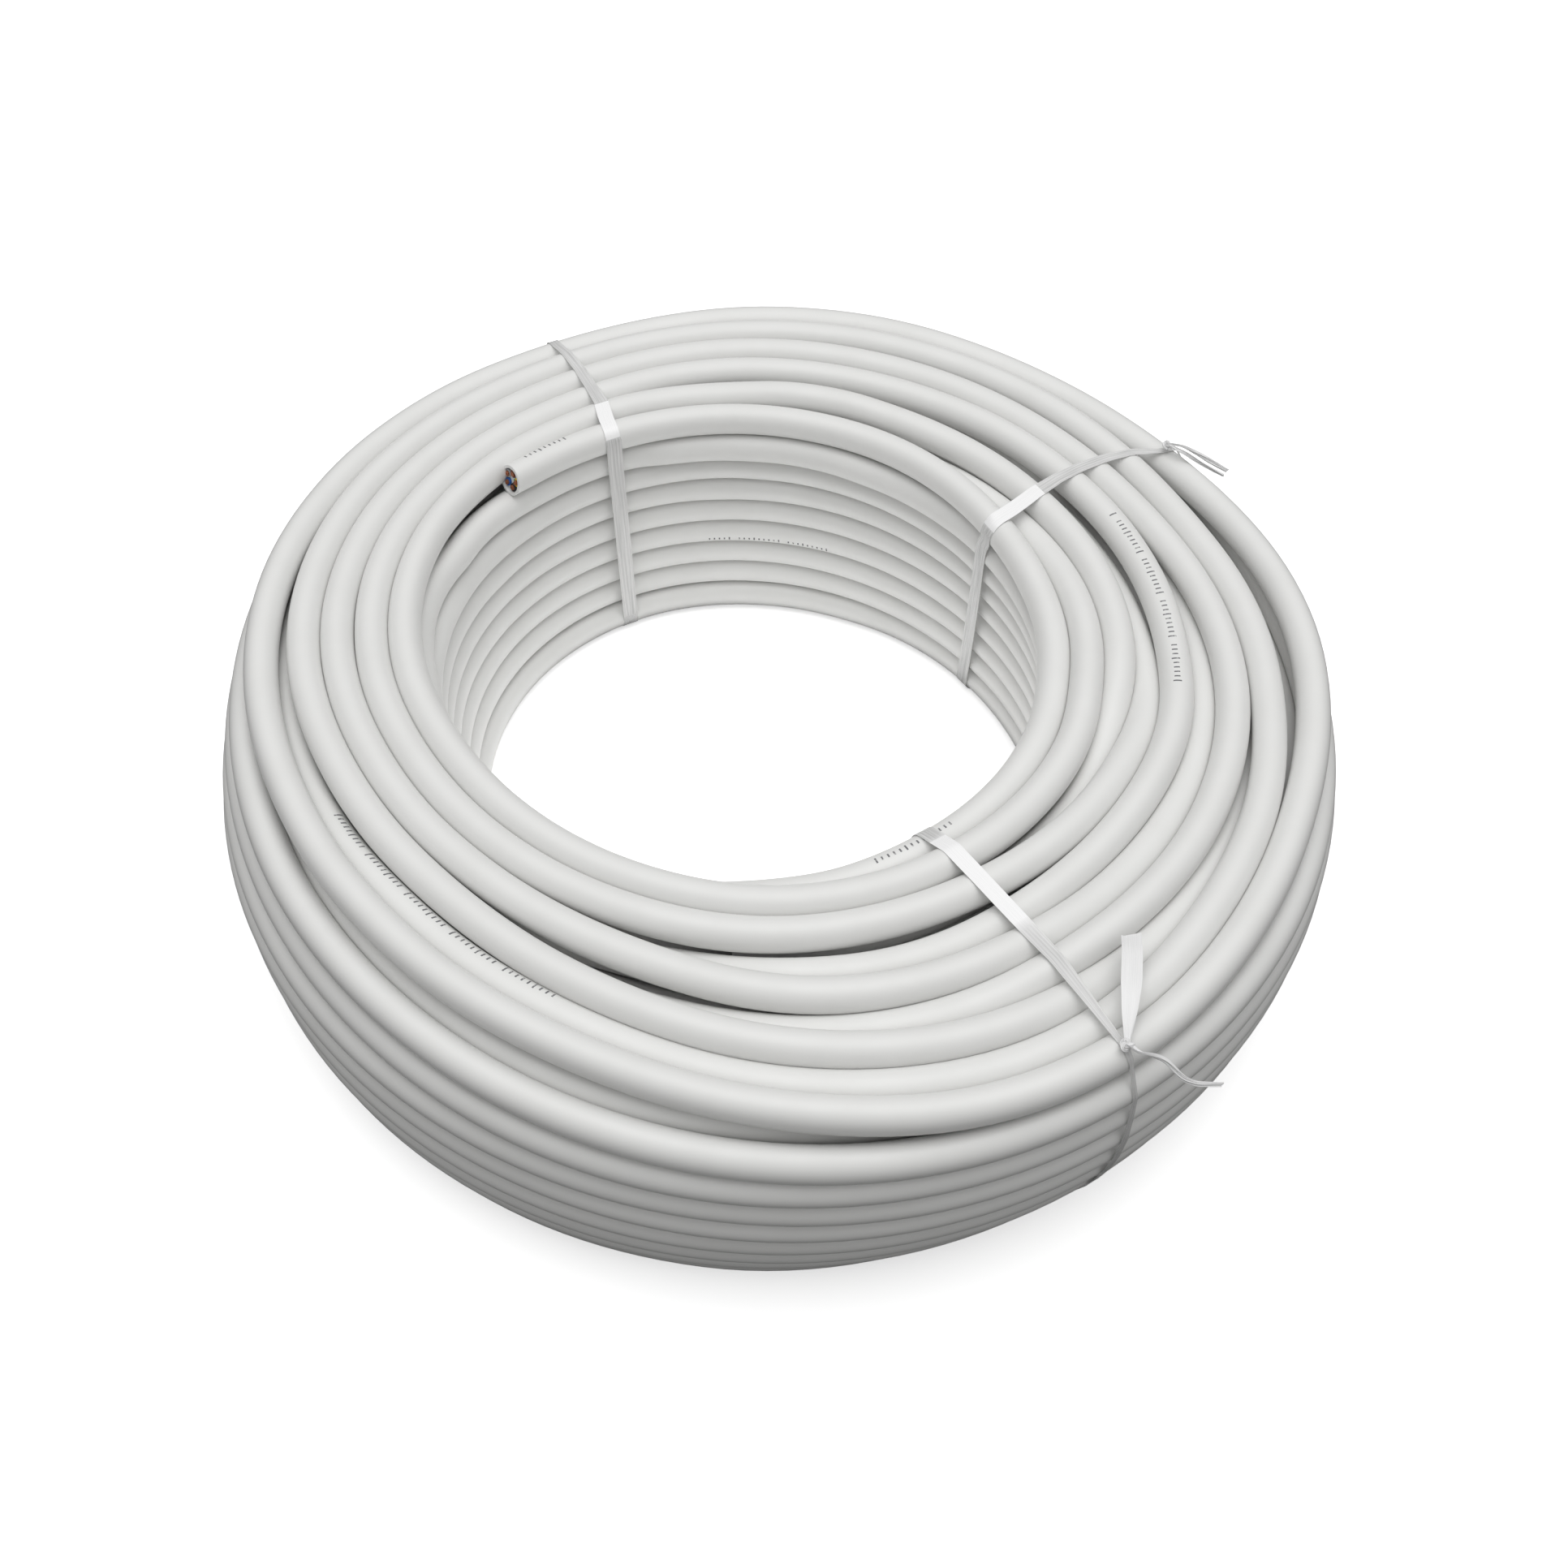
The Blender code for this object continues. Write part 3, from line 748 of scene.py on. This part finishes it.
def band(skin, angle, turns, widths, course):
    """The loop of film round the coil. The width is given along the top and down the outside.

    The course gives how many degrees the film lies off its own direction, by radius on the top
    and by height down the wall of the bore.
    """
    loop = drawn_tight(angle, turns)
    middle = loop.mean(0)
    fans = {whole: reach_round(angle + whole, turns, middle) for whole in range(-4, 5)}
    shifts = []
    for k, (radius, height) in enumerate(loop):
        if height > 8.0:
            shift = np.interp(radius, *course["top"])
        elif radius > middle[0]:
            shift = course["top"][1][-1] * height / 8.0
        else:
            shift = np.interp(height, *course["wall"])
        if height < 0.5:
            shift = np.interp(radius, [loop[:, 0].min(), loop[:, 0].max()], [course["wall"][1][0], 0])
        shifts.append(shift)
        way = math.atan2(height - middle[1], radius - middle[0])
        whole = math.floor(shift)
        near, far = (np.interp(way, *fans[w], period=2 * math.pi) for w in (whole, whole + 1))
        reach = near + (far - near) * (shift - whole)
        loop[k] = middle + reach * np.array([math.cos(way), math.sin(way)])
    spots = [row_point(p[0], angle + shift, p[1]) for shift, p in zip(shifts, loop)]
    steps = np.hypot(*(np.roll(loop, -1, 0) - loop).T)
    run = np.concatenate([[0], np.cumsum(steps)[:-1]]) * CABLE
    rim = loop[:, 0].max()
    tangent = np.roll(loop, -1, 0) - np.roll(loop, 1, 0)
    tangent /= np.hypot(*tangent.T)[:, None]
    rings, places = [], []
    for k, (radius, height) in enumerate(loop):
        normal = outwards(angle + shifts[k]) * tangent[k, 1] - Vector((0, 0, 1)) * tangent[k, 0]
        side = (spots[(k + 1) % len(spots)] - spots[k - 1]).cross(normal).normalized()
        on_top = height > 8.0 and normal.z > 0.5
        outside = radius > rim - 2.2 and not on_top
        if on_top:
            width = np.interp(radius, *widths["top"])
        elif outside:
            width = np.interp(height, *widths["outside"])
        else:
            width = widths["inside"]
        bunch = 1 + 5 * max(0, 1 - width / 0.0055)
        ring_points, ring_places = film_ring(run[k], spots[k], side, normal, width, FILM,
                                             0.00002 * bunch, 9 * run[k])
        for point in ring_points:
            point.z = max(point.z, 0.00004 if normal.z < -0.5 else 0.0)
        rings.append(ring_points)
        places.append(ring_places)
    skin.grid(rings, places, close_rings=True, close_run=True)


def smooth_line(points, count):
    """Points on smooth curves through a few given ones."""
    given = np.array(points, float)
    spans = np.linalg.norm(np.diff(given, axis=0), axis=1)
    at = np.concatenate([[0], np.cumsum(spans)])
    wanted = np.linspace(0, at[-1], count)
    return [Vector(p) for p in np.stack([cubic(at, given[:, c], wanted) for c in range(3)], 1)], wanted


def tail(skin, angle, knot, route, widths, twists, crease=0.0002):
    """A loose end of film from the knot. Its route is in metres outwards, to the side and up."""
    outward, aside = outwards(angle), outwards(angle + 90)
    route = [knot + outward * o + aside * s + Vector((0, 0, u)) for o, s, u in [(0, 0, 0)] + route]
    last = 33
    points, run = smooth_line(route, last + 1)
    rings, places = [], []
    for k, point in enumerate(points):
        ahead = (points[min(k + 1, last)] - points[max(k - 1, 0)]).normalized()
        share = k / last
        twist = math.radians(np.interp(share, np.linspace(0, 1, len(twists)), twists))
        flat = ahead.cross(Vector((0, 0, 1))).normalized()
        side = math.cos(twist) * flat + math.sin(twist) * flat.cross(ahead)
        width = np.interp(share, np.linspace(0, 1, len(widths)), widths)
        bunch = 1 + 2.0 * max(0, 1 - width / 0.005)
        ring_points, ring_places = film_ring(LOOSE + run[k], point, side, side.cross(ahead), width, 0.00013,
                                             crease * bunch, 6 * run[k])
        if k == last:
            ring_points = [p + ahead * (v - 0.5) * width / 2 for p, (u, v) in zip(ring_points, ring_places)]
        rings.append(ring_points)
        places.append(ring_places)
    skin.grid(rings, places, close_rings=True, cap=True)


def knot_in(skin, middle, angle, size, count=72, sides=20):
    """A small pulled knot in bunched film, as a fluted strand on a looped path."""
    outward, aside = outwards(angle), outwards(angle + 90)
    rings, places = [], []
    line = []
    for k in range(count):
        t = 2 * math.pi * k / count
        x = math.sin(t) + 2 * math.sin(2 * t)
        y = math.cos(t) - 2 * math.cos(2 * t)
        deep = Vector((0, 0, 1)) * math.sin(3 * t) * 0.42
        line.append(middle + size * (aside * x * 0.42 + outward * y * 0.3 - deep))
    for k, point in enumerate(line):
        ahead = (line[(k + 1) % count] - line[k - 1]).normalized()
        flat = ahead.cross(Vector((0.3, 0.2, 1))).normalized()
        face = flat.cross(ahead)
        ring_points, ring_places = [], []
        for j in range(sides):
            w = 2 * math.pi * j / sides
            flute = size * 0.36 * (1 + 0.16 * math.sin(5 * w + 4 * math.pi * k / count))
            ring_points.append(point + flute * (flat * math.cos(w) + face * math.sin(w) * 0.8))
            ring_places.append((LOOSE + k * 0.0004, j / sides))
        rings.append(ring_points)
        places.append(ring_places)
    skin.grid(rings, places, close_rings=True, close_run=True)


def knotted(skin, angle, radius, size, ends):
    """A knot on the outermost top turn with its loose ends, each a route, widths and twists."""
    knot = row_point(radius, angle, KNOT_HEIGHT)
    knot_in(skin, knot, angle, size)
    for end in ends:
        tail(skin, angle, knot, *end)


def make_ties(turns, film):
    """The three ties. Only the right and the front one show a knot."""
    widths = {"top": ([9.0, 10.8, 12.0, 14.4], [0.0064, 0.0062, 0.0052, 0.0042]),
              "outside": ([0.5, 4.0, 8.4], [0.007, 0.006, 0.0044]), "inside": 0.0068}
    course = {"top": ([9.3, 10.2, 11.1, 13.0, 14.8], [1.5, 0.7, -0.4, -0.5, 0.0]),
              "wall": ([0, 8], [0.8, 1.5])}
    skin = Skin()
    band(skin, TIES["back"], turns, widths, course)
    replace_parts(skin.make("film_back", film), "tie_back")

    widths = {"top": ([9.0, 11.0, 12.0, 13.6, 15.2, 15.9], [0.0068, 0.0064, 0.0054, 0.0048, 0.0034, 0.0022]),
              "outside": ([0.5, 5.0, 8.4], [0.007, 0.0055, 0.0022]), "inside": 0.0066}
    course = {"top": ([8.7, 9.6, 10.8, 11.8, 12.8, 13.8, 14.8, 15.8],
                      [-3.3, -2.3, -0.6, 0.2, 0.4, 0.1, -0.8, -2.4]),
              "wall": ([0, 8], [3.2, -2.6])}
    skin = Skin()
    band(skin, TIES["right"], turns, widths, course)
    knotted(skin, 31.1, 15.8, 0.0017, [
        ([(0.003, -0.004, 0.0006), (0.008, -0.0086, -0.0015), (0.0173, -0.0198, -0.0055)],
         [0.0012, 0.002, 0.0022, 0.0018], [10, 60, 120, 160]),
        ([(0.001, -0.005, 0.0006), (0.0063, -0.0098, -0.0022), (0.0152, -0.0202, -0.0064)],
         [0.0012, 0.0018, 0.0016, 0.0016], [0, -40, -90, -120])])
    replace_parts(skin.make("film_right", film), "tie_right")

    widths = {"top": ([9.0, 13.6, 15.2, 16.6, 17.5], [0.0066, 0.006, 0.0048, 0.0032, 0.0022]),
              "outside": ([0.5, 4.0, 8.4], [0.007, 0.004, 0.0016]), "inside": 0.0066}
    course = {"top": ([9.0, 11.5, 14.7, 17.6], [0.0, 0.5, 0.9, 0.1]), "wall": ([0, 8], [0.0, 0.0])}
    skin = Skin()
    band(skin, TIES["front"], turns, widths, course)
    knotted(skin, 304.1, 17.7, 0.0018, [
        ([(-0.005, 0.0045, 0.0022), (-0.0155, 0.014, 0.0042), (-0.0235, 0.021, 0.0038),
          (-0.0302, 0.0268, 0.0012)], [0.0014, 0.0048, 0.0066, 0.0068, 0.0066], [0, 8, 4, -4, 0], 0.0001),
        ([(0.005, 0.0014, 0.0), (0.0092, 0.0067, -0.0024), (0.0173, 0.0121, -0.0073),
          (0.0194, 0.0153, -0.0088), (0.0235, 0.0202, -0.0073)],
         [0.0016, 0.0022, 0.0018, 0.002, 0.0016], [0, 70, 130, 170, 200])])
    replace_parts(skin.make("film_front", film), "tie_front")


# Length ticks on the sheath

def mark_rows(named, ink):
    """Short plain ticks along the cable, a longer one at every fifth place."""
    rows = [("second", 214, 252, 122, 0.8), ("fourth", 350, 385, 98, 0.75), ("inner", 294, 310, 100, 0.6),
            ("inner", 488.5, 499.5, 72, 0.7), ("inner", 74 - 360 * 4, 102 - 360 * 4, 196, 0.5)]
    skin = Skin()
    for name, start, stop, way, tall in rows:
        turn = named[name]
        radius = turn.between((start + stop) / 2)[0]
        pitch = math.degrees(TICK_PITCH / (radius * CABLE))
        for k in range(int((stop - start) / pitch)):
            if k % 10 == 9:
                continue
            angle = start + k * pitch
            here = turn.point(angle)
            ahead = (turn.point(angle + 0.5) - here).normalized()
            side = Vector((ahead.y, -ahead.x, 0)).normalized()
            rise = side.cross(ahead)
            if rise.z < 0:
                rise = -rise
            half = (13 if k % 5 else 19) * tall
            ways = [math.radians(way + w) for w in np.linspace(-half, half, 6)]
            bow = [here + TICK_REACH * (math.cos(w) * side + math.sin(w) * rise) for w in ways]
            skin.grid([[point + ahead * edge for point in bow] for edge in (-TICK_HALF, TICK_HALF)],
                      [[(edge, w) for w in range(6)] for edge in (0, 1)])
    return skin.make("length_ticks", ink)


# Finishes

def film_material():
    """Thin milky film, streaked along its length, with a painted highlight: white on the top near the bore,
    where the film partly also lies double, and white on the knots and loose ends.
    """
    mat, tree, shader = new_material("milky film", (0.8, 0.81, 0.82))
    run = run_in(tree)
    drawn = add(tree, "ShaderNodeMapping", Vector=run, Scale=(26.0, 9.0, 1.0)).outputs[0]
    streaks = noise(tree, drawn, 1.0, 5.0, Roughness=0.62)
    fine = add(tree, "ShaderNodeMapping", Vector=run, Scale=(60.0, 46.0, 1.0)).outputs[0]
    threads = noise(tree, fine, 1.0, 2.0)
    tone = ramp(tree, streaks, (0.32, (0.68, 0.68, 0.675)), (0.68, (0.8, 0.8, 0.795)))
    # Painted highlight, partly film lying double: white on the top of a tie within 14.2 diameters of the
    # bore's axis at the front and 11.05 at the back, above 8.72 diameters high.
    place = here_in(tree)
    off_axis = add(tree, "ShaderNodeVectorMath", {"operation": "DISTANCE"}, i0=place,
                   i1=(*AXIS, ROWS * CABLE)).outputs["Value"]
    parts = parts_of(tree, place)
    limit = spread(tree, parts["Y"], -0.02, 0.02, 14.2 * CABLE, 11.05 * CABLE)
    fade = spread(tree, parts["Y"], -0.02, 0.02, 0.012, 0.0004)
    double_film_and_highlight = compute(tree, "DIVIDE", compute(tree, "SUBTRACT", limit, off_axis), fade, clamp=True)
    raised = spread(tree, parts["Z"], 8.72 * CABLE, 8.8 * CABLE, 0.0, 1.0)
    # Painted highlight on the knots and loose ends, whose run starts at LOOSE.
    loose = spread(tree, parts_of(tree, run)["X"], LOOSE - 0.5, LOOSE - 0.4, 0.0, 0.85)
    painted_highlight = compute(tree, "MAXIMUM", compute(tree, "MULTIPLY", double_film_and_highlight, raised), loose)
    thin = spread(tree, streaks, 0.3, 0.7, 0.55, 0.8)
    relief = compute(tree, "MULTIPLY_ADD", threads, 0.4, streaks)
    bumps = add(tree, "ShaderNodeBump", Strength=1.0, Distance=0.00006, Height=relief)
    # The grey-white 0.88 is the painted highlight, which also makes the film opaque there.
    feed(tree, shader, Base_Color=blend(tree, painted_highlight, tone, (0.88, 0.88, 0.88)),
         Alpha=compute(tree, "MAXIMUM", thin, painted_highlight), Roughness=spread(tree, threads, 0.3, 0.7, 0.2, 0.36),
         Normal=bumps.outputs["Normal"], Specular_IOR_Level=0.6)
    return mat


def striped_insulation():
    """Green insulation with a yellow half, told apart by the place round the core."""
    mat = plastic("green and yellow insulation", (0.70, 0.50, 0.05), (0.62, 0.42, 0.05), 0.4, 900.0)
    tree = mat.node_tree
    shader = tree.nodes["Principled BSDF"]
    wave = compute(tree, "PINGPONG", parts_of(tree, run_in(tree))["X"], 0.5)
    stripe = spread(tree, wave, 0.13, 0.15, 0.0, 1.0)
    yellow = shader.inputs["Base Color"].links[0].from_socket
    feed(tree, shader, Base_Color=blend(tree, stripe, (0.05, 0.30, 0.08), yellow))
    return mat


def copper_material():
    """Cut copper, a little dulled from strand to strand."""
    mat, tree, shader = new_material("cut copper", (0.72, 0.36, 0.2))
    patch = noise(tree, here_in(tree), 2600.0, 2.0)
    tone = ramp(tree, patch, (0.35, (0.42, 0.16, 0.09)), (0.65, (0.78, 0.38, 0.24)))
    feed(tree, shader, Base_Color=tone, Roughness=spread(tree, patch, 0.3, 0.7, 0.5, 0.28), Metallic=1.0)
    return mat


def ink_material():
    """Thin grey ink that has partly worn off."""
    mat, tree, shader = new_material("worn ink", (0.2, 0.2, 0.2))
    worn = noise(tree, here_in(tree), 900.0, 4.0, Roughness=0.7)
    tone = ramp(tree, worn, (0.0, (0.22, 0.22, 0.23)), (1.0, (0.11, 0.11, 0.12)))
    feed(tree, shader, Base_Color=tone, Alpha=spread(tree, worn, 0.36, 0.5, 0.25, 0.85), Roughness=0.55)
    return mat


# Making the coil

white = plastic("white sheath", (0.735, 0.735, 0.722), (0.70, 0.70, 0.685), 0.42, 45.0)
film = film_material()
copper = copper_material()
CABLE_TREE = cable_tree()
CUT_FRAME = cut_frame()
turns = lay_out()
settle(turns)
named = {turn.name: turn for turn in turns}
inner = named["inner"]
for k, angle in enumerate(inner.angles()):
    if angle > LAST_STRETCH:
        share = smooth_step((angle - LAST_STRETCH) / 20)
        given = np.interp(angle, [s[0] for s in INNERMOST], [s[1] for s in INNERMOST])
        inner.radii[k] += share * (given - inner.radii[k])
        inner.heights[k] += share * (TOP_ROW - inner.heights[k])

tip = row_point(CUT[1], CUT[0], TOP_ROW)
top = cable_piece("top_turns", [(route_of(t), t.closed) for t in turns if t.group == "top"], white)
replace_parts(top, "coil")
cable_piece("inner_turns", [(route_of(inner, stop=JOINT), False)], white)
cable_piece("outer_turns", [(route_of(named["outer"]), False)], white)
cable_piece("covered_turns", [(route_of(t), True) for t in turns if t.group == "under"], white, 16)
cable_piece("foot_turns", [(route_of(t), True) for t in turns if t.group == "foot"], white, 24)
end_piece = cable_piece("cut_end", [(route_of(inner, start=JOINT) + [tip], False)], white)
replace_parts(end_piece, "free_end")
hollow_cut(end_piece, tip, CUT_FRAME.col[2].to_3d())

STRANDS = strand_tree()
core_finishes = {
    "brown": plastic("brown insulation", (0.20, 0.06, 0.035), (0.15, 0.045, 0.03), 0.4, 900.0),
    "green_yellow": striped_insulation(),
    "black": plastic("black insulation", (0.02, 0.02, 0.021), (0.03, 0.03, 0.031), 0.4, 900.0),
    "blue": plastic("blue insulation", (0.03, 0.12, 0.42), (0.025, 0.09, 0.33), 0.4, 900.0),
    "grey": plastic("grey insulation", (0.36, 0.37, 0.38), (0.3, 0.31, 0.32), 0.4, 900.0),
}
for number, (name, finish) in enumerate(core_finishes.items()):
    make_core(name, number, finish, copper, STRANDS)
make_ties(turns, film)
mark_rows(named, ink_material())

# Stage, light and camera

floor_mesh = bpy.data.meshes.new("floor")
SPAN = 15.0
floor_mesh.from_pydata([(-SPAN, -SPAN, 0), (SPAN, -SPAN, 0), (SPAN, SPAN, 0), (-SPAN, SPAN, 0)], [],
                       [(0, 1, 2, 3)])
floor = link(bpy.data.objects.new("floor", floor_mesh))
pale, ground, paper = new_material("pale floor", (0.8, 0.8, 0.8))
PAPER = (0.93, 0.93, 0.93)
# Painted light and shade: to the camera the floor is evenly white; inside the bore it glows and lights the
# wall of the bore, and round the coil it is dark to bounced light, a painted shade on the outer wall.
seen = add(ground, "ShaderNodeLightPath").outputs["Is Camera Ray"]
off_axis = add(ground, "ShaderNodeVectorMath", {"operation": "DISTANCE"}, i0=here_in(ground), i1=(*AXIS, 0.0))
NEAR, FAR = 0.105, 0.112    # the paper throws light up inside the bore and hardly any round the coil
inside = spread(ground, off_axis.outputs["Value"], NEAR, FAR, 1.0, 0.0)
tone = blend(ground, seen, blend(ground, inside, (0.12, 0.12, 0.12), PAPER), PAPER)
glow = blend(ground, compute(ground, "MAXIMUM", seen, inside), (0, 0, 0), (1, 1, 1))
feed(ground, paper, Base_Color=tone, Emission_Color=glow, Emission_Strength=0.5, Roughness=0.9)
floor_mesh.materials.append(pale)

world = bpy.data.worlds.new("studio")
bpy.context.scene.world = world
world.use_nodes = True
heaven = world.node_tree
sky = heaven.nodes["Background"]
way = parts_of(heaven, add(heaven, "ShaderNodeTexCoord").outputs["Generated"])["Z"]
upward = compute(heaven, "POWER", compute(heaven, "MAXIMUM", way, 0.0), 1.6)
strength = compute(heaven, "MULTIPLY_ADD", upward, 1.2, 0.1)
behind = add(heaven, "ShaderNodeLightPath").outputs["Is Camera Ray"]
feed(heaven, sky, Color=(1, 1, 1, 1), Strength=compute(heaven, "MAXIMUM", behind, strength))

LAMP = Vector((0.05, 0.0, 1.5))
lamp = bpy.data.lights.new("overhead", "AREA")
lamp.shape = "DISK"
lamp.size = 1.3
lamp.energy = 6.5
overhead = link(bpy.data.objects.new("overhead", lamp))
overhead.location = LAMP
overhead.rotation_euler = (Vector((0, 0, 0.05)) - LAMP).to_track_quat("-Z", "Y").to_euler()

view = Vector((0, math.cos(LOOK_DOWN), -math.sin(LOOK_DOWN)))
level = Vector((1, 0, 0))
upright = Vector((0, math.sin(LOOK_DOWN), math.cos(LOOK_DOWN)))
side = math.cos(ROLL) * level + math.sin(ROLL) * upright
up = -math.sin(ROLL) * level + math.cos(ROLL) * upright
lens = bpy.data.cameras.new("camera")
lens.lens = LENS
lens.sensor_width = 36
camera = link(bpy.data.objects.new("camera", lens))
turned = Matrix((side, up, -view)).transposed().to_4x4()
camera.matrix_world = Matrix.Translation(EYE) @ turned
bpy.context.scene.camera = camera
bpy.context.scene.view_settings.view_transform = "Standard"
